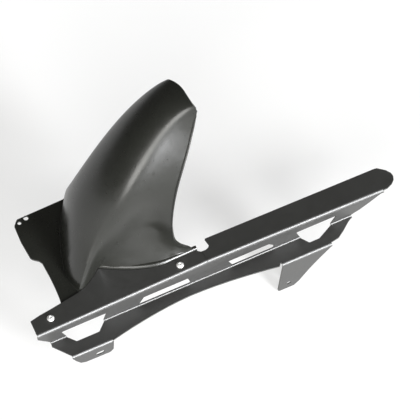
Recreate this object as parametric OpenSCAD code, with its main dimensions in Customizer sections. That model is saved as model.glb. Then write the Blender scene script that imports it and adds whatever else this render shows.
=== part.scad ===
/* [Chain guard] */
// Length of the guard along the chain, front end to the far end of its straight fold
guard_len = 545; // [420:1:640]
// Width of the top plate behind the kink
plate_w = 38; // [30:0.5:50]
// Width of the top plate at its front end
plate_front_w = 27; // [22:0.5:34]
// How far the rear end reaches beyond the straight fold
nose_len = 23; // [10:0.5:32]
// Distance of the crosswise kink from the front end
kink_x = 268; // [262:1:300]
// Angle by which the plate falls away behind the kink
kink_deg = 3.6; // [0:0.1:5]
// Height of the riser at its front end
riser_h = 31; // [26:0.5:40]
// Angle by which the lower fold falls toward the rear
fold_deg = 1.8; // [0:0.1:2.5]
// Width of the lower panel at the front tab
panel_front_w = 35; // [30:0.5:42]
// Width of the lower panel at the rear tab
panel_rear_w = 30; // [27:0.5:38]
// Width of the lower panel at its narrowest, between the tabs
panel_waist_w = 17; // [12:0.5:22]
// Thickness of the sheet
sheet_t = 2; // [1.5:0.1:3]
// Inside radius of the folds
fold_r = 2; // [1.5:0.1:3]

/* [Guard windows] */
// Height of the windows above the lower fold
win_h = 16.5; // [10:0.5:18]
// Reach of the two end windows into the lower panel
win_low = 13; // [8:0.5:15]
// Radius of the window corners
win_r = 1.5; // [0.5:0.1:3]

/* [Mounting tabs] */
// Depth of the front tab below the panel
tab_front_d = 27; // [22:0.5:34]
// Centre of the front slot along the guard
slot_x = 82; // [76:0.5:88]
// Centre of the front slot below the panel
slot_drop = 18; // [14:0.5:20]
// Width of the front slot
slot_w = 6.6; // [5:0.1:8.5]
// Overall length of the front slot
slot_len = 13; // [10:0.5:18]
// Depth of the rear tab below the panel
tab_rear_d = 65; // [55:0.5:75]
// Hole of the rear tab
tab_hole_d = 6.6; // [5:0.1:8.5]
// Height of the rear hole above the lower edge of its tab
tab_hole_up = 11.5; // [10:0.5:14]

/* [Wheel cover] */
// Radius of the cover's crown about the wheel axle
crown_r = 330; // [320:1:345]
// Wall thickness of the moulding
shell_t = 3; // [2.5:0.1:4]
// Angle about the axle at which the cover ends
tip_deg = 69.3; // [60:0.1:72]
// Height of the foot above the top plate
step_h = 5; // [3:0.5:7]
// Gap between the foot and the edge of the top plate
seat_gap = 0.4; // [0.2:0.1:0.8]
// Far edge of the front flange, measured across from the fold
flange_w = 185; // [180:0.5:190]
// Larger hole in the front flange
flange_hole_d = 7; // [6:0.1:9]
// Smaller hole in the front flange
flange_small_d = 5.5; // [4:0.1:6]

/* [Screws] */
// Thread diameter of the two screws
screw_d = 6; // [5:0.5:6]
// Head diameter of the screws
head_d = 10.5; // [9.5:0.1:12]
// Head height of the screws
head_h = 3.3; // [2.8:0.1:3.6]
// Width across the flats of the nuts
nut_af = 10; // [8:0.5:10]
// Clearance of the screws in their holes
screw_gap = 0.5; // [0.3:0.1:1]

/* [Hidden] */
$fn = 64;
bend_r = fold_r + sheet_t;
seam = 0.02;
axle_x = crown_r + 79;
axle_z = -50;
foot_y = 23.6;
lobe_start = 215;
corner_x = 127.3;
corner_y = 61.1;
toe_x = 88;
toe_y = 39.4;
foot_end = kink_x - 5;
front_x = 2.2;
lower_x0 = 22;
lower_x1 = 493;
tab_front_x0 = 39;
tab_front_x1 = 101;
tab_x0 = 370;
tab_x1 = 448;
hole_x = tab_x0 + 11;
hole_z = tab_hole_up - tab_rear_d;
screw_front_at = [31.6, 18.6];
screw_rear_at = [230.6, 12.8];
small_at = [64.7, flange_w - 6.8];
large_at = [76.4, flange_w - 3.7];
socket_af = 4;
flange_top = -sheet_t;
flange_bot = -sheet_t - shell_t;
nut_h = 5;
nut_flange_d = nut_af + 3.5;
nut_flange_t = 1.2;
screw_len = sheet_t + shell_t + nut_h + 1.5;
org = [hole_x * cos(fold_deg) + hole_z * sin(fold_deg), -panel_rear_w,
       -riser_h - hole_x * sin(fold_deg) + hole_z * cos(fold_deg)];

function clamp(v, lo, hi) = min(max(v, lo), hi);
function smooth(v) = let (u = clamp(v, 0, 1)) u * u * (3 - 2 * u);
function mix(a, b, k) = a + (b - a) * k;

// The line of the foot seen from above, where the top plate meets the moulding
function foot_line(x) = x >= lobe_start ? foot_y
    : foot_y + (corner_y - foot_y) * pow((lobe_start - x) / (lobe_start - corner_x), 1.6);
function ridge_line(x) = toe_y + (corner_y - toe_y) * pow((x - toe_x) / (corner_x - toe_x), 1.4);
function front_line(y) = y < 63 ? toe_x - 5 + 5 * pow((63 - y) / (63 - toe_y), 2)
    : toe_x - 5 + 54.6 * pow((y - 63) / (flange_w - 63), 1.6);
function foot_pts(n) = [for (i = [0:n]) let (x = mix(foot_end, corner_x, i / n)) [x, foot_line(x)]];
function ridge_pts(n) = [for (i = [0:n]) let (x = mix(corner_x, toe_x, i / n)) [x, ridge_line(x)]];
function front_pts(n) = [for (i = [0:n]) let (y = mix(toe_y, flange_w, i / n)) [front_line(y), y]];

// Moves the whole part so that the rear tab's hole is at the origin
module placed() {
    translate(-org) children();
}

// Puts a child with its X along the lower fold
module lower() {
    translate([0, 0, -riser_h]) rotate([0, fold_deg, 0]) children();
}

// Puts a child on the plate behind the kink
module behind_kink() {
    translate([kink_x, 0, 0]) rotate([0, kink_deg, 0]) children();
}

// Quarter of a sheet fold along X, its flat end toward +Y and a leg toward -Z, both tangent
module fold(x0, x1, r_in, r_out, leg, arm) {
    translate([x0, 0, 0]) rotate([90, 0, 90]) linear_extrude(x1 - x0) {
        intersection() {
            difference() {
                circle(r_out);
                circle(r_in);
            }
            translate([-r_out - 1, 0]) square(r_out + 1);
        }
        translate([-r_out, -leg]) square([r_out - r_in, leg]);
        translate([0, r_out - arm[1]]) square(arm);
    }
}

// Sheet standing in the plane of the riser, from points in X and Z
module standing(y, pts) {
    translate([0, y + sheet_t, 0]) rotate([90, 0, 0]) linear_extrude(sheet_t) polygon(pts);
}

module rounded(r) {
    offset(r) offset(delta = -r) children();
}

// Outline of the top plate ahead of the kink
module plate_front_outline() {
    difference() {
        polygon(concat([[front_x, bend_r], [plate_front_w / 6, plate_front_w], [20, 30], [37, 31.8]],
            [[57, 34.4], [toe_x - 2, toe_y - 1], [toe_x + 12, 60], [corner_x, 70]],
            [[foot_end, 50], [foot_end, foot_y - 1.5], [foot_end + 4, 19], [kink_x + 2, 19], [kink_x + 2, bend_r]]));
        offset(delta = seat_gap) polygon(concat([[foot_end, 90]], foot_pts(14), ridge_pts(6),
            [[toe_x - 14, toe_y + 40]]));
    }
}

// Outline of the top plate behind the kink
module plate_rear_outline() {
    straight = guard_len - kink_x;
    polygon([[-0.3, bend_r + 1], [straight, bend_r + 1], [straight, 0.8], [straight + 6, 1.2],
        [straight + nose_len - 8, 5], [straight + nose_len - 2.5, 10], [straight + nose_len, 16],
        [straight + nose_len - 0.6, 22], [straight + nose_len - 5, 29], [straight + 8, plate_w - 0.6],
        [straight + 3, plate_w], [14, plate_w - 2], [12.3, plate_w - 3.5], [13.5, 24], [11, 21], [6, 19],
        [1, 19 - seam], [-0.3, 19 - seam]]);
}

// Fold between top plate and riser. Sheets laid at different angles enter each other set in by the
// seam, so that no two of their faces nearly coincide.
module upper_fold(x0, x1, inset) {
    drop = inset - seam;
    translate([0, bend_r + inset, -bend_r - drop])
        fold(x0, x1, fold_r + 2 * inset, bend_r, 1.5, [3, sheet_t - 2 * drop]);
}

// Points of the riser's plane: from the lower fold's frame and from behind the kink
function at_lower(x, z) = [x * cos(fold_deg) + z * sin(fold_deg), -riser_h - x * sin(fold_deg) + z * cos(fold_deg)];
function at_rear(x, z) = [kink_x + x * cos(kink_deg) + z * sin(kink_deg), -x * sin(kink_deg) + z * cos(kink_deg)];

module riser_body() {
    straight = guard_len - kink_x;
    enter = 0.6;
    standing(0, [[front_x, -bend_r - enter], [front_x, -9.6], at_lower(21.4, fold_r + enter), at_lower(493.4, fold_r + enter),
        [507, -39.8], [522, -32.7], [538, -23.8], at_rear(straight, -bend_r - 1),
        at_rear(straight, -bend_r - enter), [kink_x, -bend_r - enter]]);
}

// Outline of the lower panel, X along the fold and Y across
module panel_outline() {
    waist_x = 235;
    edge = [for (i = [0:14]) let (
        x = mix(tab_front_x1 + 1, tab_x0 - 5, i / 14),
        u = (x - waist_x) / 132,
        w = u < 0 ? panel_front_w : panel_rear_w + 1)
        [x, -mix(panel_waist_w, w - 1, pow(abs(u), 1.7))]];
    polygon(concat([[lower_x0, -fold_r], [lower_x0 - 1, -6], [tab_front_x0 - 0.5, -panel_front_w + bend_r],
        [tab_front_x1, -panel_front_w + bend_r], [tab_front_x1 + 1, -panel_front_w + 1]], edge,
        [[tab_x0 - 2, -panel_rear_w + bend_r], [450, -panel_rear_w + bend_r],
        [461, -24], [473, -16], [486, -6], [lower_x1, -fold_r]]));
}

module front_tab_outline() {
    difference() {
        rounded(3) polygon([[tab_front_x0, 8], [tab_front_x0, -bend_r], [44, -13], [52, -tab_front_d + 4],
            [60, -tab_front_d + 0.8], [98, -tab_front_d], [103, -tab_front_d + 5], [103, 8]]);
        translate([0, -bend_r]) square([200, 30]);
        for (s = [-1, 1]) translate([slot_x + s * (slot_len - slot_w) / 2, -slot_drop]) circle(d = slot_w);
        translate([slot_x, -slot_drop]) square([slot_len - slot_w, slot_w], center = true);
    }
}

module rear_tab_outline() {
    difference() {
        rounded(4) polygon([[tab_x0, 8], [tab_x0, -bend_r], [tab_x0 - 6, -tab_rear_d], [tab_x0 + 20, -tab_rear_d],
            [tab_x0 + 28, -tab_rear_d + 7], [tab_x0 + 43, -39], [tab_x0 + 59, -22], [tab_x1, -bend_r], [tab_x1, 8]]);
        translate([300, -bend_r]) square([200, 30]);
        translate([hole_x, -tab_rear_d + tab_hole_up]) circle(d = tab_hole_d);
    }
}

// A window across the lower fold: top corners on the riser, fold crossing, lower corners on the panel
module end_window(top, cross, low) {
    side = sheet_t + 3;
    lower() translate([0, side, 0]) rotate([90, 0, 0]) linear_extrude(side + 0.6)
        rounded(win_r) polygon([[top[0], win_h], [top[1], win_h], [cross[1], 0.6], [cross[1], -9],
            [cross[0], -9], [cross[0], 0.6]]);
    lower() translate([0, 0, -sheet_t - 3]) linear_extrude(sheet_t + 3.6)
        rounded(win_r) polygon([[cross[0], 9], [cross[0], -0.6], [low[0], -win_low], [low[1], -win_low],
            [cross[1], -0.6], [cross[1], 9]]);
}

// A window in the riser alone, from points along and up from the lower fold
module riser_window(pts) {
    lower() translate([0, sheet_t + 3, 0]) rotate([90, 0, 0]) linear_extrude(sheet_t + 6)
        rounded(win_r) polygon(pts);
}

module windows() {
    end_window([38, 109], [46.5, 105], [56, 91]);
    end_window([406, 470], [412.5, 460.5], [420.5, 436]);
    riser_window([[167, win_h], [236, win_h], [241, fold_r], [159, fold_r]]);
    riser_window([[299, win_h], [363, win_h], [371, 9], [371, fold_r], [307, fold_r]]);
}

// The top plate and its fold on both sides of the kink
module upper_sheet() {
    intersection() {
        union() {
            translate([0, 0, -sheet_t]) linear_extrude(sheet_t) plate_front_outline();
            upper_fold(front_x, kink_x + 2, seam);
        }
        translate([kink_x, 0, 0]) rotate([0, kink_deg / 2, 0]) translate([-500, -20, -60]) cube([500, 120, 80]);
    }
    behind_kink() {
        translate([0, 0, -sheet_t + seam]) linear_extrude(sheet_t - 2 * seam) plate_rear_outline();
        upper_fold(-0.3, guard_len - kink_x, 2 * seam);
    }
}

// A tab hanging from the panel's outer edge: its fold and its face
module tab(x0, x1, y) {
    translate([0, y + bend_r, -bend_r]) fold(x0, x1, fold_r, bend_r, 1.5, [1, sheet_t]);
    translate([0, y + sheet_t, 0]) rotate([90, 0, 0]) linear_extrude(sheet_t) children();
}

module lower_sheet() {
    translate([lower_x1, seam - fold_r, fold_r]) rotate([0, 0, 180]) mirror([0, 0, 1])
        fold(0, lower_x1 - lower_x0, fold_r, bend_r - 2 * seam, 1.5, [1, sheet_t - 2 * seam]);
    translate([0, 0, -sheet_t]) linear_extrude(sheet_t) panel_outline();
    tab(tab_front_x0, tab_front_x1, -panel_front_w) front_tab_outline();
    tab(tab_x0, tab_x1, -panel_rear_w) rear_tab_outline();
}

module chain_guard() {
    color("DimGray") placed() difference() {
        union() {
            upper_sheet();
            riser_body();
            lower() lower_sheet();
        }
        windows();
        for (p = [screw_front_at, screw_rear_at])
            translate([p[0], p[1], -sheet_t - 1]) cylinder(d = screw_d + screw_gap, h = sheet_t + 2);
    }
}

// Stations of the cover in planes through the axle: the angle, then radius and distance across
// for its near lower edge, its near shoulder, its far shoulder and its far lower edge.
stations = [
    [9, 279, 58.5, 286.4, corner_y, 276, flange_w, 266, flange_w - 0.5],
    [10.6, 271.5, 52.5, 284, 59.2, 288, 177, 248, flange_w - 0.5],
    [12, 262, 46.5, 283, 57.5, 295, 170, 231, flange_w],
    [14, 225, 29.5, 283, 56, 302, 163, 199, flange_w],
    [17, 187, foot_y + 0.8, 284.5, 54.5, 306, 158, 165, flange_w],
    [20, 160, foot_y + 0.8, 287, 53, 308, 154, 160, flange_w],
    [24, 184, foot_y + 1.4, 291, 52, 309, 152, 184, flange_w - 2],
    [28, 203, 26, 296, 51.5, 309, 151.5, 203, flange_w - 4],
    [33, 217, 28.5, 303, 51.5, 309, 152.5, 217, flange_w - 6],
    [38, 229, 32, 309, 54, 309, 154.5, 229, flange_w - 8],
    [44, 243, 38, 312, 61, 309, 156.5, 243, flange_w - 11],
    [50, 258, 45, 316, 71, 311.5, 160.5, 258, flange_w - 15],
    [56, 272, 54.5, 316.5, 83, 312.5, 162, 272, flange_w - 19],
    [61, 284, 66, 317, 91, 313, 162, 284, flange_w - 20],
    [65, 297, 77, 318.5, 94, 315, 160, 296, flange_w - 22],
    [68, 311, 84, 321, 91, 317, 157, 302, flange_w - 24],
    [tip_deg, 318, 85, 324, 88, 319, 154, 306, flange_w - 26]];
crown_n = 14;
wall_n = 5;
row_n = 2;

// A station between the listed ones, on a smooth curve through them
function station(u) = let (
        n = len(stations) - 1, i = min(floor(u), n - 1), f = u - i,
        p0 = stations[max(i - 1, 0)], p1 = stations[i], p2 = stations[i + 1], p3 = stations[min(i + 2, n)],
        kinked = i == 4 || i == 5)
    kinked ? mix(p1, p2, f) : 0.5 * (2 * p1 + (p2 - p0) * f + (2 * p0 - 5 * p1 + 4 * p2 - p3) * f * f
    + (3 * p1 - p0 - 3 * p2 + p3) * f * f * f);
sections = [for (k = [0:row_n * (len(stations) - 1)]) station(k / row_n)];

// A point in the plane at an angle about the axle, kept above a height
function polar(deg, rho, y, low) = let (z = axle_z + rho * sin(deg))
    z < low ? [axle_x - sqrt(rho * rho - pow(low - axle_z, 2)), y, low] : [axle_x - rho * cos(deg), y, z];

// The front foot of the cover, from the corner by the ridge and the toe to the far end
function base_pt(v) = v < 0.12 ? let (x = mix(corner_x, toe_x, v / 0.12)) [x, ridge_line(x)]
    : let (y = mix(toe_y, flange_w, (v - 0.12) / 0.88)) [front_line(y), y];

// How far the end of the cover runs back toward the far side, as an angle
function run_back(s, v) = 2.2 * smooth((s[0] - 60) / (tip_deg - 60)) * pow(max(0, (v - 0.45) / 0.55), 2);

function crown_pt(s, v) = let (
        w = smooth((s[0] - 9) / 21),
        rim = smooth((s[0] - 60) / (tip_deg - 60)),
        arch = mix(s[3], s[5], v) + (crown_r - 0.5 * (s[3] + s[5])) * pow(4 * v * (1 - v), mix(0.8, 0.5, rim)),
        y = mix(s[4], s[6], v),
        b = base_pt(v),
        base_rho = norm([axle_x - b[0], flange_top - axle_z]),
        base_deg = atan2(flange_top - axle_z, axle_x - b[0]),
        deg = s[0] < 30 ? mix(base_deg, 30, (s[0] - 9) / 21) : s[0])
    polar(deg - run_back(s, v), mix(base_rho, arch, w), mix(b[1], y, w), flange_top);

function near_pt(s, v) = let (
        q = crown_pt(s, 0),
        a = polar(s[0], s[1], s[2], mix(flange_top, step_h - 0.5, smooth((s[0] - 9) / 2))),
        k = smooth((s[0] - 20) / 22),
        c = [mix(a[0], q[0], 0.4), mix(a[1], q[1], mix(0.75, 0.55, k)), mix(a[2], q[2], mix(0.1, 0.5, k))])
    (1 - v) * (1 - v) * a + 2 * v * (1 - v) * c + v * v * q;

function far_pt(s, v) = let (
        q = crown_pt(s, 1),
        b = polar(s[0] - run_back(s, 1), s[7], s[8], mix(flange_top, flange_bot + 1, smooth((s[0] - 9) / 2))),
        c = [mix(b[0], q[0], 0.5), mix(b[1], q[1], 0.4), mix(b[2], q[2], 0.6)])
    (1 - v) * (1 - v) * q + 2 * v * (1 - v) * c + v * v * b;

function row(s) = concat([for (i = [0:wall_n - 1]) near_pt(s, i / wall_n)],
    [for (i = [0:crown_n]) crown_pt(s, i / crown_n)], [for (i = [1:wall_n]) far_pt(s, i / wall_n)]);

// The outer surface, row by row; the first row is the foot, sunk into the flange
outer = concat([[for (p = row(sections[0])) [p[0], p[1], flange_bot + 1]]], [for (s = sections) row(s)]);
cols = len(outer[0]);
rows = len(outer);

function unit(v) = v / max(norm(v), 1e-6);
function normal(j, i) = let (
        a = outer[j][min(i + 1, cols - 1)] - outer[j][max(i - 1, 0)],
        b = outer[min(j + 1, rows - 1)][i] - outer[max(j - 1, 0)][i])
    unit(cross(b, a));
// The wall thins out where the near side runs into the corner by the ridge
function wall_at(j, i) = let (near = 1 - smooth((i - wall_n) / 4), low = 1 - smooth((j - 4) / 8))
    shell_t * (1 - 0.6 * near * low);
function inner_pt(j, i) = let (p = outer[j][i], n = normal(max(j, 1), i), q = p - wall_at(j, i) * n)
    j < 2 ? [q[0], q[1], p[2]] : [q[0], q[1], max(q[2], flange_bot + 1)];

module hood() {
    pts = concat([for (j = [0:rows - 1]) for (i = [0:cols - 1]) outer[j][i]],
        [for (j = [0:rows - 1]) for (i = [0:cols - 1]) inner_pt(j, i)]);
    m = rows * cols;
    quads = concat(
        [for (j = [0:rows - 2]) for (i = [0:cols - 2]) let (a = j * cols + i) [a, a + 1, a + cols + 1, a + cols]],
        [for (j = [0:rows - 2]) for (i = [0:cols - 2]) let (a = m + j * cols + i) [a, a + cols, a + cols + 1, a + 1]],
        [for (i = [0:cols - 2]) [i, m + i, m + i + 1, i + 1]],
        [for (i = [0:cols - 2]) let (a = (rows - 1) * cols + i) [a, a + 1, m + a + 1, m + a]],
        [for (j = [0:rows - 2]) let (a = j * cols) [a, a + cols, m + a + cols, m + a]],
        [for (j = [0:rows - 2]) let (a = j * cols + cols - 1) [a, m + a, m + a + cols, a + cols]]);
    tris = [for (q = quads) each [[q[0], q[1], q[2]], [q[0], q[2], q[3]]]];
    polyhedron(points = pts, faces = tris, convexity = 8);
}

// The step that stands along the foot and the ridge
module foot_rail() {
    translate([0, 0, flange_bot + 0.5]) linear_extrude(shell_t - 0.5 + sheet_t + step_h) intersection() {
        difference() {
            polygon(concat([[foot_end, 60]], foot_pts(14), [[corner_x + 0.5, corner_y + 9]]));
            offset(delta = -5) polygon(concat([[foot_end + 30, 90], [foot_end + 30, foot_y]], foot_pts(14),
                [[corner_x - 30, corner_y + 15]]));
        }
        translate([corner_x, 0]) square([foot_end - corner_x, 100]);
    }
}

module flange_outline() {
    difference() {
        rounded(4) polygon([[18, 8], [foot_end, 8], [foot_end, foot_y + 7], [foot_end, flange_w - 40],
            [foot_end, flange_w + 5], [156, flange_w + 5], [142, flange_w], [64, flange_w],
            [56, flange_w - 8], [52.5, 150], [52, 120], [54, 116.5], [61, 110], [63, 105], [62, 80], [60.5, 62], [58, 43],
            [55, 31], [24, 27], [18, 24]]);
        offset(delta = -shell_t - 1.5) polygon(concat([[foot_end + 20, flange_w], [foot_end + 20, foot_y]],
            foot_pts(14), ridge_pts(4), front_pts(14)));
    }
}

module fender_shell() {
    color("Gray") placed() difference() {
        union() {
            translate([0, 0, flange_bot]) linear_extrude(shell_t) flange_outline();
            foot_rail();
            hood();
        }
        translate([small_at[0], small_at[1], flange_bot - 1]) cylinder(d = flange_small_d, h = shell_t + 2);
        translate([large_at[0], large_at[1], flange_bot - 1]) cylinder(d = flange_hole_d, h = shell_t + 2);
        for (p = [screw_front_at, screw_rear_at])
            translate([p[0], p[1], flange_bot - 1]) cylinder(d = screw_d + screw_gap, h = shell_t + 2);
    }
}

// Button-head screw, its seat at the origin and its thread downward
module screw() {
    dome_r = (pow(head_d / 2, 2) + pow(head_h - 0.8, 2)) / (2 * (head_h - 0.8));
    difference() {
        union() {
            intersection() {
                translate([0, 0, head_h - dome_r]) sphere(dome_r);
                cylinder(d = head_d, h = head_h + 1);
            }
            translate([0, 0, -screw_len]) cylinder(d = screw_d, h = screw_len + 1);
        }
        translate([0, 0, head_h - 2]) cylinder(d = socket_af / cos(30), h = 3, $fn = 6);
    }
}

// Flange nut, its seat at the origin and its body downward
module nut() {
    difference() {
        union() {
            translate([0, 0, -nut_flange_t]) cylinder(d = nut_flange_d, h = nut_flange_t);
            translate([0, 0, -nut_h]) cylinder(d = nut_af / cos(30), h = nut_h, $fn = 6);
        }
        translate([0, 0, -nut_h - 1]) cylinder(d = screw_d + 0.1, h = nut_h + 2);
    }
}

module at_screw(p, z) {
    placed() translate([p[0], p[1], z]) children();
}

fender_shell();
chain_guard();
color("Silver") at_screw(screw_front_at, 0) screw();  // screw_front
color("Silver") at_screw(screw_rear_at, 0) screw();  // screw_rear
color("Silver") at_screw(screw_front_at, flange_bot) nut();  // nut_front
color("Silver") at_screw(screw_rear_at, flange_bot) nut();  // nut_rear
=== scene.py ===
import math

import bmesh
import bpy
import numpy as np
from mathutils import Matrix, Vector


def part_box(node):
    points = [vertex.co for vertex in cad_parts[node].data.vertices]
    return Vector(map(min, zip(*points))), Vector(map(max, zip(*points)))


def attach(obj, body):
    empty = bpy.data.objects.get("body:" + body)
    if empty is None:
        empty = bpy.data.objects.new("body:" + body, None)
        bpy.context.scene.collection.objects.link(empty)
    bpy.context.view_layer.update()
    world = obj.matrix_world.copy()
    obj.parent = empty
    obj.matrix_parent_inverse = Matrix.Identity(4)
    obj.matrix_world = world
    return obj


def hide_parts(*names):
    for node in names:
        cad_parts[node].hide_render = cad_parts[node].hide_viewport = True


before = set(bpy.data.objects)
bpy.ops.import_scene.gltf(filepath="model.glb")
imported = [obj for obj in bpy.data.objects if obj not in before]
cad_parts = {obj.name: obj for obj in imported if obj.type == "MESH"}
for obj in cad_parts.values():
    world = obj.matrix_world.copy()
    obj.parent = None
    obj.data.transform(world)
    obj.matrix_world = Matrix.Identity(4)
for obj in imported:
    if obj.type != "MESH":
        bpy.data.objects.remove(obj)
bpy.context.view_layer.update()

# The viewpoint: a long lens looks down on the guard from its outer side and from ahead, as one
# photographs small parts laid out on a sheet of paper. Every size below is in millimetres from
# the front end of the guard's upper fold, and MM brings it to metres in the frame.
MM = 0.001
guard_low, guard_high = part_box("chain_guard")
fold_start = Vector((guard_low.x - 2.2 * MM, guard_low.y + 35 * MM, guard_high.z))
view_elevation, view_turn = math.radians(58.0), math.radians(-27.5)
to_camera = Vector((math.sin(view_turn) * math.cos(view_elevation),
                    -math.cos(view_turn) * math.cos(view_elevation),
                    math.sin(view_elevation)))
image_right = Vector((math.cos(view_turn), math.sin(view_turn), 0))
image_up = to_camera.cross(image_right)
pixels_per_mm, image_pixels = 0.72, 420
start_pixel = (37, 337)
lens_mm, sensor_mm = 1300, 36
middle_depth = -70
target = (fold_start + to_camera * middle_depth * MM
          + image_right * (image_pixels / 2 - start_pixel[0]) / pixels_per_mm * MM
          + image_up * (start_pixel[1] - image_pixels / 2) / pixels_per_mm * MM)
distance = image_pixels / pixels_per_mm * MM * lens_mm / sensor_mm

lens = bpy.data.cameras.new("long_lens")
lens.lens, lens.sensor_width = lens_mm, sensor_mm
lens.clip_start, lens.clip_end = 1, 100
camera = bpy.data.objects.new("long_lens", lens)
camera.location = target + to_camera * distance
camera.rotation_mode = "QUATERNION"
camera.rotation_quaternion = to_camera.to_track_quat("Z", "Y")
bpy.context.collection.objects.link(camera)
bpy.context.scene.camera = camera
bpy.context.scene.view_settings.view_transform = "Standard"


# The room: white paper under the part and a dark ceiling over it. A wide lamp stands ahead of the
# part on the left, and three narrow ones stand one above the other in front of it. The walls are
# white near the floor only.
class Wire:
    """The output of a node. Arithmetic on it adds Math nodes to the same tree."""

    def __init__(self, tree, socket):
        self.tree, self.socket = tree, socket

    def sums(self, operation, first, second):
        return node(self.tree, "ShaderNodeMath", {"operation": operation}, {0: first, 1: second})

    def __add__(self, other):
        return self.sums("ADD", self, other)

    __radd__ = __add__

    def __sub__(self, other):
        return self.sums("SUBTRACT", self, other)

    def __rsub__(self, other):
        return self.sums("SUBTRACT", other, self)

    def __mul__(self, other):
        return self.sums("MULTIPLY", self, other)

    __rmul__ = __mul__


def node(tree, kind, settings, sockets, out=0):
    """Adds one node: its settings first, then the values or links of its sockets."""
    made = tree.nodes.new(kind)
    for name, value in settings.items():
        if name == "stops":
            ramp = made.color_ramp.elements
            while len(ramp) < len(value):
                ramp.new(0.5)
            for element, (position, colour) in zip(ramp, value):
                element.position, element.color = position, (*colour, 1)
        else:
            setattr(made, name, value)
    for name, value in sockets.items():
        if isinstance(value, Wire):
            tree.links.new(value.socket, made.inputs[name])
        else:
            made.inputs[name].default_value = value
    return Wire(tree, made.outputs[out]) if len(made.outputs) else None


def ramp(tree, value, low, high):
    """Rises smoothly from 0 to 1 while the value goes from low to high."""
    return node(tree, "ShaderNodeMapRange", {"interpolation_type": "SMOOTHSTEP"},
                {"Value": value, "From Min": low, "From Max": high})


room = bpy.data.worlds.new("room")
room.use_nodes = True
room_tree = room.node_tree
room_tree.nodes.clear()
direction = node(room_tree, "ShaderNodeTexCoord", {}, {}, "Generated")
height = node(room_tree, "ShaderNodeSeparateXYZ", {}, {"Vector": direction}, "Z")
ceiling_edge, wall_white, ceiling_grey = 0.09, (1.0, 1.0, 1.0, 1), (0.09, 0.09, 0.083, 1)
ceiling = ramp(room_tree, height, 0.0, ceiling_edge)
room_colour = node(room_tree, "ShaderNodeMix", {"data_type": "RGBA"},
                   {"Factor": ceiling, 6: wall_white, 7: ceiling_grey}, 2)
background = node(room_tree, "ShaderNodeBackground", {}, {"Color": room_colour, "Strength": 1.0})
node(room_tree, "ShaderNodeOutputWorld", {}, {"Surface": background})
bpy.context.scene.world = room


def soft_box(name, towards, strength, spread, colour):
    """A lamp far away that lights everything evenly, as wide as the angle it fills."""
    light = bpy.data.lights.new(name, "SUN")
    light.energy, light.angle, light.color = strength, math.radians(spread), colour
    lamp = bpy.data.objects.new(name, light)
    lamp.rotation_mode = "QUATERNION"
    lamp.rotation_quaternion = Vector(towards).to_track_quat("Z", "Y")
    bpy.context.collection.objects.link(lamp)


soft_box("box_left", (-0.50, -0.76, 0.40), 2.7, 40, (1.0, 0.99, 0.96))
strip_rises, strip_towards = (8, 20, 32), (0.25, -0.97)
for k, rise in enumerate(strip_rises):
    level, lift = math.cos(math.radians(rise)), math.sin(math.radians(rise))
    soft_box(f"strip_front_{k}", (strip_towards[0] * level, strip_towards[1] * level, lift),
             2.5, 18, (0.97, 0.98, 1.0))

paper_gap, paper_reach, glow_share = 0.8, 6000, 0.62
paper_mesh = bpy.data.meshes.new("paper")
paper_z = guard_low.z - paper_gap * MM
paper_mesh.from_pydata([(x * paper_reach * MM, y * paper_reach * MM, paper_z)
                        for x, y in ((-1, -1), (1, -1), (1, 1), (-1, 1))], [], [(0, 1, 2, 3)])
paper = bpy.data.objects.new("paper", paper_mesh)
bpy.context.collection.objects.link(paper)
paper_finish = bpy.data.materials.new("white_paper")
paper_finish.use_nodes = True
paper_tree = paper_finish.node_tree
paper_tree.nodes.clear()
fibres = node(paper_tree, "ShaderNodeTexNoise", {}, {"Scale": 60.0, "Detail": 3.0}, "Fac")
paper_colour = node(paper_tree, "ShaderNodeMix", {"data_type": "RGBA"},
                    {"Factor": fibres, 6: (0.90, 0.895, 0.88, 1), 7: (0.92, 0.92, 0.91, 1)}, 2)
matt = node(paper_tree, "ShaderNodeBsdfDiffuse", {}, {"Color": paper_colour})
glow = node(paper_tree, "ShaderNodeEmission", {}, {"Color": (1.0, 1.0, 1.0, 1), "Strength": 1.0})
rays = {name: node(paper_tree, "ShaderNodeLightPath", {}, {}, name)
        for name in ("Is Camera Ray", "Is Glossy Ray", "Is Transmission Ray")}
seen = rays["Is Camera Ray"] + rays["Is Glossy Ray"] + rays["Is Transmission Ray"]
paper_shader = node(paper_tree, "ShaderNodeMixShader", {}, {0: seen * glow_share, 1: matt, 2: glow})
node(paper_tree, "ShaderNodeOutputMaterial", {}, {"Surface": paper_shader})
paper_mesh.materials.append(paper_finish)

# The wheel cover: one moulding of black plastic, 3 mm thick. An arched hood stands on a flat
# flange at the front, and a 5 mm step carries it along the edge of the guard's top plate.
# Two screws clamp its flange under that plate.
axle = (409.0, -50.0)
crown_radius = 330.0
flange_top, flange_under = -2.0, -5.0
far_side = 185.0
step_top = 5.0
wall = 3.0
foot_y, lobe_start, foot_end = 23.6, 215.0, 263.0
corner, toe = (127.3, 61.1), (88.0, 39.4)
first_angle, front_angle, rim_angle, tip_angle = 9, 30, 60, 69.3
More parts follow.
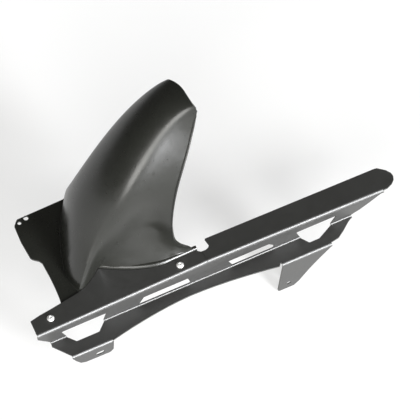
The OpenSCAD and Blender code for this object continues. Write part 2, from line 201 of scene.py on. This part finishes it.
# Each row is a slice through the axle: its angle, then radius and distance across for the near
# lower edge, the near shoulder, the far shoulder and the far lower edge.
slices = np.array([
    (first_angle, 279, 58.5, 286.4, corner[1], 276, far_side, 266, far_side - 0.5),
    (10.6, 271.5, 52.5, 284, 59.2, 288, 177, 248, far_side - 0.5),
    (12, 262, 46.5, 283, 57.5, 295, 170, 231, far_side),
    (14, 225, 29.5, 283, 56, 302, 163, 199, far_side),
    (17, 187, foot_y + 0.8, 284.5, 54.5, 306, 158, 165, far_side),
    (20, 160, foot_y + 0.8, 287, 53, 308, 154, 160, far_side),
    (24, 184, foot_y + 1.4, 291, 52, 309, 152, 184, far_side - 2),
    (28, 203, 26, 296, 51.5, 309, 151.5, 203, far_side - 4),
    (33, 217, 28.5, 303, 51.5, 309, 152.5, 217, far_side - 6),
    (38, 229, 32, 309, 54, 309, 154.5, 229, far_side - 8),
    (44, 243, 38, 312, 61, 309, 156.5, 243, far_side - 11),
    (50, 258, 45, 316, 71, 311.5, 160.5, 258, far_side - 15),
    (56, 272, 54.5, 316.5, 83, 312.5, 162, 272, far_side - 19),
    (61, 284, 66, 317, 91, 313, 162, 284, far_side - 20),
    (65, 297, 77, 318.5, 94, 315, 160, 296, far_side - 22),
    (68, 311, 84, 321, 91, 317, 157, 302, far_side - 24),
    (tip_angle, 318, 85, 324, 88, 319, 154, 306, far_side - 26)])


def ease(value):
    held = min(max(value, 0.0), 1.0)
    return held * held * (3 - 2 * held)


def between(first, second, part):
    return first + (second - first) * part


straight_between = (4, 5)


def slice_at(place):
    """A slice between the listed ones, on a smooth curve through them but straight at the foot."""
    last = len(slices) - 1
    i = min(int(place), last - 1)
    f = place - i
    before, a, b, after = slices[max(i - 1, 0)], slices[i], slices[i + 1], slices[min(i + 2, last)]
    if i in straight_between:
        return between(a, b, f)
    return 0.5 * (2 * a + (b - before) * f + (2 * before - 5 * a + 4 * b - after) * f * f
                  + (3 * a - before - 3 * b + after) * f ** 3)


def on_slice(angle, radius, across, lowest):
    """A point at an angle about the axle, moved along its circle where it would be too low."""
    z = axle[1] + radius * math.sin(math.radians(angle))
    if z < lowest:
        return np.array((axle[0] - math.sqrt(radius ** 2 - (lowest - axle[1]) ** 2), across, lowest))
    return np.array((axle[0] - radius * math.cos(math.radians(angle)), across, z))


def foot_line(x):
    """The step's lower edge seen from above: straight at the rear, curving in to the corner."""
    if x >= lobe_start:
        return foot_y
    return foot_y + (corner[1] - foot_y) * ((lobe_start - x) / (lobe_start - corner[0])) ** 1.6


def ridge_line(x):
    """The ridge from the toe up to the corner, seen from above."""
    return toe[1] + (corner[1] - toe[1]) * ((x - toe[0]) / (corner[0] - toe[0])) ** 1.4


nose_y, nose_out, far_corner_back = 63, 5, 54.6


def front_line(y):
    """The front foot seen from above: foremost at the nose, falling back to both sides."""
    if y < nose_y:
        return toe[0] - nose_out + nose_out * ((nose_y - y) / (nose_y - toe[1])) ** 2
    return toe[0] - nose_out + far_corner_back * ((y - nose_y) / (far_side - nose_y)) ** 1.6


ridge_part = 0.12


def front_foot(part):
    """The crown's lower end seen from above: the ridge from corner to toe, then the front across."""
    if part < ridge_part:
        x = between(corner[0], toe[0], part / ridge_part)
        return x, ridge_line(x)
    y = between(toe[1], far_side, (part - ridge_part) / (1 - ridge_part))
    return front_line(y), y


def at_rim(angle):
    return ease((angle - rim_angle) / (tip_angle - rim_angle))


sweep_degrees, sweep_from = 2.2, 0.45


def sweep_back(angle, part):
    """How far the tip's edge is turned forward about the axle toward the far side."""
    return sweep_degrees * at_rim(angle) * max(0.0, (part - sweep_from) / (1 - sweep_from)) ** 2


crown_square = (0.8, 0.5)


def crown_point(cut, part):
    """A point of the crown, from the near shoulder (part 0) to the far one (part 1)."""
    cut_angle, near_radius, near_across, far_radius, far_across = cut[[0, 3, 4, 5, 6]]
    lifted = (cut_angle - first_angle) / (front_angle - first_angle)
    blend = ease(lifted)
    arch = (between(near_radius, far_radius, part) + (crown_radius - 0.5 * (near_radius + far_radius))
            * (4 * part * (1 - part)) ** between(*crown_square, at_rim(cut_angle)))
    foot_x, foot_across = front_foot(part)
    reach, drop = axle[0] - foot_x, flange_top - axle[1]
    foot_angle = math.degrees(math.atan2(drop, reach))
    angle = between(foot_angle, front_angle, lifted) if cut_angle < front_angle else cut_angle
    return on_slice(angle - sweep_back(cut_angle, part),
                    between(math.hypot(reach, drop), arch, blend),
                    between(foot_across, between(near_across, far_across, part), blend), flange_top)


def bow(start, control, end, part):
    """A point on the curve that leaves start toward control and arrives at end from it."""
    return (1 - part) ** 2 * start + 2 * part * (1 - part) * control + part ** 2 * end


foot_sink, foot_turn = 0.5, 2
near_pull_low, near_pull_high = np.array((0.4, 0.75, 0.1)), np.array((0.4, 0.55, 0.5))
far_pull = np.array((0.5, 0.4, 0.6))


def near_point(cut, part):
    """A point of the near wall, from its lower edge up to the near shoulder."""
    angle, radius, across = cut[:3]
    lowest = between(flange_top, step_top - foot_sink, ease((angle - first_angle) / foot_turn))
    top, low = crown_point(cut, 0.0), on_slice(angle, radius, across, lowest)
    pull = between(near_pull_low, near_pull_high, ease((angle - 20) / 22))
    return bow(low, low + (top - low) * pull, top, part)


def far_point(cut, part):
    """A point of the far wall, from the far shoulder down to its lower edge."""
    angle, radius, across = cut[[0, 7, 8]]
    lowest = between(flange_top, flange_under + 1, ease((angle - first_angle) / foot_turn))
    top, low = crown_point(cut, 1.0), on_slice(angle - sweep_back(angle, 1.0), radius, across, lowest)
    return bow(top, low + (top - low) * far_pull, low, part)


near_columns, crown_columns, far_columns = 18, 46, 16
foot_rows, arch_rows, rim_rows = 14, 84, 14
foot_place, rim_place, tip_place = 1.0, 14.5, len(slices) - 1
places = np.concatenate([np.linspace(0, foot_place, foot_rows, endpoint=False),
                         np.linspace(foot_place, rim_place, arch_rows, endpoint=False),
                         np.linspace(rim_place, tip_place, rim_rows)])
hood = np.array([[near_point(cut, i / near_columns) for i in range(near_columns)]
                 + [crown_point(cut, i / crown_columns) for i in range(crown_columns + 1)]
                 + [far_point(cut, i / far_columns) for i in range(1, far_columns + 1)]
                 for cut in map(slice_at, places)])
row_count, column_count = hood.shape[:2]
columns = np.arange(column_count)

# Neighbouring slices are faired into one another, all but the foot and the near wall's lower edge
fairing_rounds = 110
fair = (np.clip((places - 1.5) / 1.5, 0, 1)[1:-1, None, None]
        * np.clip((columns - 8) / 10, 0, 1)[None, :, None])
for _ in range(fairing_rounds):
    hood[1:-1] += fair * (0.25 * (hood[:-2] + hood[2:]) - 0.5 * hood[1:-1])


corner_step_round, rear_step_round, step_turn = 8.6, 4.0, math.radians(65)
tiny = 1e-9


def step_radius(x):
    """The step's rounded top is broad by the corner and narrow at the rear."""
    along = (x - corner[0]) / (foot_end - corner[0])
    return between(corner_step_round, rear_step_round, min(max(along, 0.0), 1.0))


# The near wall's lower edge is drawn in to the top of the step
step_cover, step_clear, step_run_out = 0.9, 4, 30
for row in np.nonzero((places > 2) & (places <= 5))[0]:
    x, y = hood[row, 0, :2]
    run_out = min(1.0, (foot_end - step_clear - x) / step_run_out)
    on_step = foot_line(x) + step_cover * step_radius(x) * math.sin(step_turn) * run_out
    hood[row, 0, 1] = between(y, on_step, min(1.0, places[row] - 2))

# The near wall is one taut skin between step, shoulder and free edge, through a few marks on it
wall_marks = [(215, 33, 18), (213, 39, 34), (211, 46, 62), (212, 48, 98), (240, 30, 17),
              (172, 45, 17), (170, 49.5, 34), (168, 53, 62)]
skin_slack = 4.0
near_wall = hood[:, :near_columns + 1]
held = np.concatenate([near_wall[::3, 0], near_wall[::4, -1], near_wall[-1, ::4], wall_marks])


def bend_terms(first, second):
    """How each held point bends a thin plate at each point, seen from the side."""
    gap = ((first[:, None, (0, 2)] - second[None, :, (0, 2)]) ** 2).sum(2)
    return gap * np.log(np.maximum(gap, tiny))


def flat_terms(points):
    return np.stack([np.ones(len(points)), points[:, 0], points[:, 2]], axis=1)


held_count = len(held)
plate_pull = np.zeros((held_count + 3, held_count + 3))
plate_pull[:held_count, :held_count] = bend_terms(held, held) + np.eye(held_count) * skin_slack
plate_pull[:held_count, held_count:] = flat_terms(held)
plate_pull[held_count:, :held_count] = flat_terms(held).T
weights = np.linalg.solve(plate_pull, np.append(held[:, 1], np.zeros(3)))
wall_points = near_wall.reshape(-1, 3)
skin = (bend_terms(wall_points, held) @ weights[:held_count]
        + flat_terms(wall_points) @ weights[held_count:]).reshape(near_wall.shape[:2])
near_wall[:, 1:-1, 1] = skin[:, 1:-1]


def hood_normals(points):
    along = np.gradient(points, axis=1)
    up = np.gradient(points, axis=0)
    found = np.cross(up, along)
    return found / np.maximum(np.linalg.norm(found, axis=2, keepdims=True), tiny)


# The shoulder between near wall and crown is rounded off
shoulder_reach, shoulder_rounds = 4, 8
shoulder = np.clip(1 - np.abs(columns - near_columns) / shoulder_reach, 0, 1)[None, :, None]
above_foot = np.clip(places / 3 - 0.2, 0, 1)[:, None, None]
for _ in range(shoulder_rounds):
    smoother = hood.copy()
    smoother[:, 1:-1] = 0.5 * hood[:, 1:-1] + 0.25 * (hood[:, :-2] + hood[:, 2:])
    hood += (smoother - hood) * shoulder * above_foot

# The corner between the near wall's free edge and the tip is rounded
corner_round, corner_rows, corner_columns = 5.0, 20, near_columns + 12
tip_corner = hood[-1, 0].copy()
across = hood[-1, near_columns + 8] - tip_corner
down = hood[-16, 0] - tip_corner
across, down = across / np.linalg.norm(across), down / np.linalg.norm(down)
for row, column in np.ndindex(corner_rows, corner_columns):
    point = hood[row_count - 1 - row, column]
    offset = point - tip_corner
    inward = np.array((corner_round - offset @ across, corner_round - offset @ down))
    reach = np.linalg.norm(inward)
    if inward.min() > 0 and reach > corner_round:
        shift = inward * (1 - corner_round / reach)
        point += shift[0] * across + shift[1] * down

# The foot flares into the flange on a fillet, which shrinks away from the ridge
ridge_fillet, front_fillet, ridge_columns, foot_overlap = 2.5, 1.2, 12, 0.3
past_ridge = np.clip((columns - near_columns) / ridge_columns, 0, 1)
fillet = between(ridge_fillet, front_fillet, past_ridge)
rise = hood[:, :, 2] - flange_top
bend = np.clip(1 - rise / fillet[None, :], 0, 1)
flare = fillet[None, :] * (1 - np.sqrt(1 - bend ** 2))
foot_run = np.gradient(hood[0, :, :2], axis=0)
foot_run /= np.maximum(np.linalg.norm(foot_run, axis=1, keepdims=True), tiny)
outward = np.stack([-foot_run[:, 1], foot_run[:, 0], np.zeros(column_count)], axis=1)
on_front = ((columns >= near_columns) & (columns <= near_columns + crown_columns)).astype(float)
hood += flare[:, :, None] * outward[None] * on_front[None, :, None]
hood[0, :, 2] -= foot_overlap

# The lining is the hood's inner side. It comes nearer where the ridge leaves little room
outer_normals = hood_normals(hood)
thinned, lining_clear = 0.6, 0.6
thin_low = 1 - np.clip((places - 1.5) / 3, 0, 1)
thickness = wall * (1 - thinned * thin_low[:, None] * (1 - past_ridge)[None, :])
lining = hood - outer_normals * thickness[:, :, None]
lining[:, :, 2] = np.maximum(lining[:, :, 2], flange_under + lining_clear)

moulding = bmesh.new()


def add_points(points):
    return [moulding.verts.new(Vector(p) * MM + fold_start) for p in points.reshape(-1, 3)]


def add_grid(verts, rows, cols, flip):
    for j in range(rows - 1):
        for i in range(cols - 1):
            a = j * cols + i
            ring = (verts[a], verts[a + 1], verts[a + cols + 1], verts[a + cols])
            moulding.faces.new(ring[::-1] if flip else ring)


def add_tube(rings):
    """Closes equal rings of points into a solid with flat ends."""
    verts, count = add_points(rings), rings.shape[1]
    for j in range(len(rings) - 1):
        for i in range(count):
            a, b = j * count + i, j * count + (i + 1) % count
            moulding.faces.new((verts[a], verts[b], verts[b + count], verts[a + count]))
    moulding.faces.new(verts[:count][::-1])
    moulding.faces.new(verts[-count:])


outside, inside = add_points(hood), add_points(lining)
add_grid(outside, row_count, column_count, False)
add_grid(inside, row_count, column_count, True)
edge_loop = (list(range(column_count))
             + [j * column_count + column_count - 1 for j in range(1, row_count)]
             + [(row_count - 1) * column_count + i for i in range(column_count - 2, -1, -1)]
             + [j * column_count for j in range(row_count - 2, 0, -1)])
for a, b in zip(edge_loop, edge_loop[1:] + edge_loop[:1]):
    moulding.faces.new((outside[b], outside[a], inside[a], inside[b]))

# The free edge of the near wall is rolled into a thin lip
lip_start, lip_stop, lip_fine, lip_full, lip_sides, lip_out_share = 7, 15.2, 0.5, 1.5, 12, 0.4
lip_rows = np.nonzero((places >= lip_start) & (places < lip_stop))[0]
lip_grown = np.minimum((places[lip_rows] - lip_start) / 4, (lip_stop - places[lip_rows]) / 0.8)
lip_radius = between(lip_fine, lip_full, np.clip(lip_grown, 0, 1))[:, None]
lip_run = np.gradient(hood[lip_rows, 0], axis=0)
lip_run /= np.linalg.norm(lip_run, axis=1, keepdims=True)
lip_out = outer_normals[lip_rows, 0]
lip_side = np.cross(lip_run, lip_out)
lip_turns = np.linspace(0, 2 * math.pi, lip_sides, endpoint=False)
add_tube(np.stack([hood[lip_rows, 0] + lip_radius * ((lip_out_share + math.cos(a)) * lip_out
                                                     + math.sin(a) * lip_side)
                   for a in lip_turns], axis=1))

# The step: a rounded rail along the foot line, its top running into the wall
rail_stations, rail_cover, rail_sunk = 60, 1.5, 0.5
rail_line = np.array([(x, foot_line(x)) for x in np.linspace(foot_end, corner[0], rail_stations)])
rail_run = np.gradient(rail_line, axis=0)
rail_run /= np.linalg.norm(rail_run, axis=1, keepdims=True)


def rail_section(x, y, run):
    """The rail's section: upright face, broad rounded shoulder, then the top under the wall."""
    radius, base = step_radius(x), flange_under + rail_sunk
    width = radius * math.sin(step_turn) + rail_cover
    shoulder_arc = [(radius * (math.sin(step_turn) - math.sin(a)), step_top - radius * (1 - math.cos(a)))
                    for a in np.linspace(step_turn, 0, 9)]
    section = [(0.0, base)] + shoulder_arc + [(width, step_top), (width, base)]
    return [(x - run[1] * inset, y - run[0] * inset, z) for inset, z in section]


add_tube(np.array([rail_section(x, y, run) for (x, y), run in zip(rail_line, rail_run)]))


def rounded(outline):
    """Turns corners, given as x, y and radius, into arcs no longer than half a side."""
    made, half_side = [], 0.49
    for k, (x, y, radius) in enumerate(outline):
        here = Vector((x, y))
        to_last = Vector(outline[k - 1][:2]) - here
        to_next = Vector(outline[(k + 1) % len(outline)][:2]) - here
        if radius == 0:
            made.append((x, y))
            continue
        half = to_last.angle(to_next) / 2
        back = min(radius / math.tan(half), half_side * to_last.length, half_side * to_next.length)
        a, b = here + to_last.normalized() * back, here + to_next.normalized() * back
        made += [tuple(bow(a, here, b, part)) for part in np.linspace(0, 1, 7)]
    return made


# The flange: a flat plate with two holes at its far corner and two for the screws, open under the
# hood for the tyre. Its outline is given as x, y and the radius of the corner
under_wall = wall + 1.5
tyre_edge = ([(x, foot_line(x) + under_wall, 0) for x in np.linspace(foot_end, corner[0] + 4, 14)]
             + [(x + 1.5, ridge_line(x) + under_wall, 0)
                for x in np.linspace(corner[0] - 2, toe[0] + 8, 6)]
             + [(front_line(y) + under_wall, y, 0)
                for y in np.linspace(toe[1] + 12, far_side - under_wall, 16)])
flange_outline = rounded(
    [(18, 8, 3), (foot_end, 8, 3)] + tyre_edge
    + [(foot_end, far_side - under_wall, 1), (foot_end, far_side + 5, 4), (156, far_side + 5, 4),
       (142, far_side, 4), (64, far_side, 4), (56, far_side - 8, 5), (52.5, 150, 6), (52, 120, 6),
       (54, 116.5, 2), (61, 110, 4), (63, 105, 4), (62, 80, 6), (60.5, 62, 6), (58, 43, 6),
       (55, 31, 4), (24, 27, 2), (18, 24, 3)])
flange_holes = [(64.7, far_side - 6.8, 2.75), (76.4, far_side - 3.7, 3.5),
                (31.6, 18.6, 3.25), (230.6, 12.8, 3.25)]
flange_edge_round, hole_sides = 0.35, 40
plan = bpy.data.curves.new("flange_plan", "CURVE")
plan.dimensions, plan.fill_mode = "2D", "BOTH"
plan.extrude = (wall / 2 - flange_edge_round) * MM
plan.bevel_depth, plan.bevel_resolution = flange_edge_round * MM, 2
plan.offset = -flange_edge_round * MM
for ring in [flange_outline] + [[(x + r * math.cos(t), y + r * math.sin(t))
                                 for t in np.linspace(0, 2 * math.pi, hole_sides, endpoint=False)]
                                for x, y, r in flange_holes]:
    spline = plan.splines.new("POLY")
    spline.points.add(len(ring) - 1)
    for point, (x, y) in zip(spline.points, ring):
        point.co = (x * MM, y * MM, 0, 1)
    spline.use_cyclic_u = True
plan_object = bpy.data.objects.new("flange_plan", plan)
bpy.context.collection.objects.link(plan_object)
bpy.context.view_layer.update()
plate = bpy.data.meshes.new_from_object(plan_object.evaluated_get(
    bpy.context.evaluated_depsgraph_get()))
bpy.data.objects.remove(plan_object)
for vert in plate.vertices:
    vert.co += fold_start + Vector((0, 0, (flange_top - wall / 2) * MM))
moulding.from_mesh(plate)
bmesh.ops.remove_doubles(moulding, verts=moulding.verts, dist=0.001 * MM)
bmesh.ops.recalc_face_normals(moulding, faces=moulding.faces)
crease_angle = math.radians(38)
for face in moulding.faces:
    face.smooth = True
for edge in moulding.edges:
    edge.smooth = edge.calc_face_angle(math.pi) < crease_angle
cover_mesh = bpy.data.meshes.new("wheel_cover")
moulding.to_mesh(cover_mesh)
moulding.free()
cover = bpy.data.objects.new("wheel_cover", cover_mesh)
bpy.context.collection.objects.link(cover)


def finish(name, slot_colour, colours, roughness, metallic, ior, grain, swell):
    """A procedural finish: two tones that drift over the piece, a fine grain, a slow swell of
    the surface and faint rub marks that change its gloss. Grain and swell are a size in
    millimetres and a strength."""
    drift_size, mottle_size, rub_size, rub_stretch = 70, 9, 4, (1, 1, 0.12)
    grain_height, swell_height = 0.1, 0.02
    material = bpy.data.materials.new(name)
    material.use_nodes = True
    tree = material.node_tree
    tree.nodes.clear()
    place = node(tree, "ShaderNodeTexCoord", {}, {}, "Object")

    def noise(size, detail, stretch=(1, 1, 1)):
        where = node(tree, "ShaderNodeMapping", {}, {"Vector": place, "Scale": stretch})
        return node(tree, "ShaderNodeTexNoise", {},
                    {"Vector": where, "Scale": 1 / (size * MM), "Detail": detail}, "Fac")

    drift, mottle = noise(drift_size, 2.0), noise(mottle_size, 4.0)
    rubs = ramp(tree, noise(rub_size, 5.0, rub_stretch), 0.60, 0.74)
    tone = node(tree, "ShaderNodeMix", {"data_type": "RGBA"},
                {"Factor": drift * 0.6 + mottle * 0.4, 6: (*colours[0], 1), 7: (*colours[1], 1)}, 2)
    gloss = roughness + (mottle - 0.5) * 0.10 + (drift - 0.5) * 0.06 - rubs * 0.05
    slow = node(tree, "ShaderNodeBump", {}, {"Height": noise(swell[0], 1.0), "Strength": swell[1],
                                             "Distance": swell[0] * swell_height * MM})
    fine = node(tree, "ShaderNodeBump", {}, {"Height": noise(grain[0], 2.0), "Strength": grain[1],
                                             "Distance": grain[0] * grain_height * MM,
                                             "Normal": slow})
    shader = node(tree, "ShaderNodeBsdfPrincipled", {},
                  {"Base Color": tone, "Roughness": gloss, "Metallic": metallic, "IOR": ior,
                   "Normal": fine})
    node(tree, "ShaderNodeOutputMaterial", {}, {"Surface": shader})
    material.diffuse_color = (*slot_colour, 1)
    return material


moulded = finish("moulded_black", (0.045, 0.045, 0.048),
                 ((0.011, 0.0115, 0.0095), (0.015, 0.0155, 0.013)),
                 0.30, 0.0, 1.58, (0.5, 0.25), (45, 0.5))
cover_mesh.materials.clear()
cover_mesh.materials.append(moulded)
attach(cover, "root")
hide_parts("fender_shell")

# The chain guard: one 2 mm aluminium sheet, cut out, folded and coated satin black. Its top
# plate, riser and lower panel run the whole length, and two tabs hang from the lower panel.
coated = finish("coated_black", (0.05, 0.05, 0.052), ((0.004, 0.004, 0.003), (0.007, 0.007, 0.0055)),
                0.52, 0.0, 2.2, (1.1, 0.3), (60, 0.3))


def round_edges(piece, width, steps):
    """Rounds the sharp edges of a piece. Where its faces are smooth, the flat ones stay flat."""
    bevel = piece.modifiers.new("edges", "BEVEL")
    bevel.limit_method, bevel.angle_limit = "ANGLE", crease_angle
    bevel.width, bevel.segments, bevel.use_clamp_overlap = width * MM, steps, False
    if piece.data.polygons[0].use_smooth:
        piece.modifiers.new("level", "WEIGHTED_NORMAL")


facet_gap, facet_angle = 0.004, math.radians(0.5)


def rounded_copy(name, piece_name, material, width, smooth):
    """The solid of a node with its facets joined and its sharp edges rounded."""
    work = bmesh.new()
    work.from_mesh(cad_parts[name].data)
    bmesh.ops.remove_doubles(work, verts=work.verts, dist=facet_gap * MM)
    bmesh.ops.dissolve_limit(work, angle_limit=facet_angle, verts=work.verts, edges=work.edges)
    bmesh.ops.recalc_face_normals(work, faces=work.faces)
    for face in work.faces:
        face.smooth = smooth
    mesh = bpy.data.meshes.new(piece_name)
    work.to_mesh(mesh)
    work.free()
    mesh.materials.clear()
    mesh.materials.append(material)
    piece = bpy.data.objects.new(piece_name, mesh)
    bpy.context.collection.objects.link(piece)
    round_edges(piece, width, 2)
    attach(piece, "root")
    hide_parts(name)


fold_round = 0.35
rounded_copy("chain_guard", "folded_guard", coated, fold_round, False)

# The fasteners: two M6 button-head screws of zinc-plated steel, one at each end of the cover's
# flange. Each goes down through the guard's top plate and the flange into a flange nut.
plated = finish("zinc_plate", (0.62, 0.62, 0.6), ((0.84, 0.84, 0.83), (0.90, 0.90, 0.89)),
                0.45, 0.5, 1.5, (0.6, 0.2), (8, 0.3))
fastener_round = 0.15
for name in ("screw_front", "screw_rear", "nut_front", "nut_rear"):
    rounded_copy(name, name + "_plated", plated, fastener_round, True)
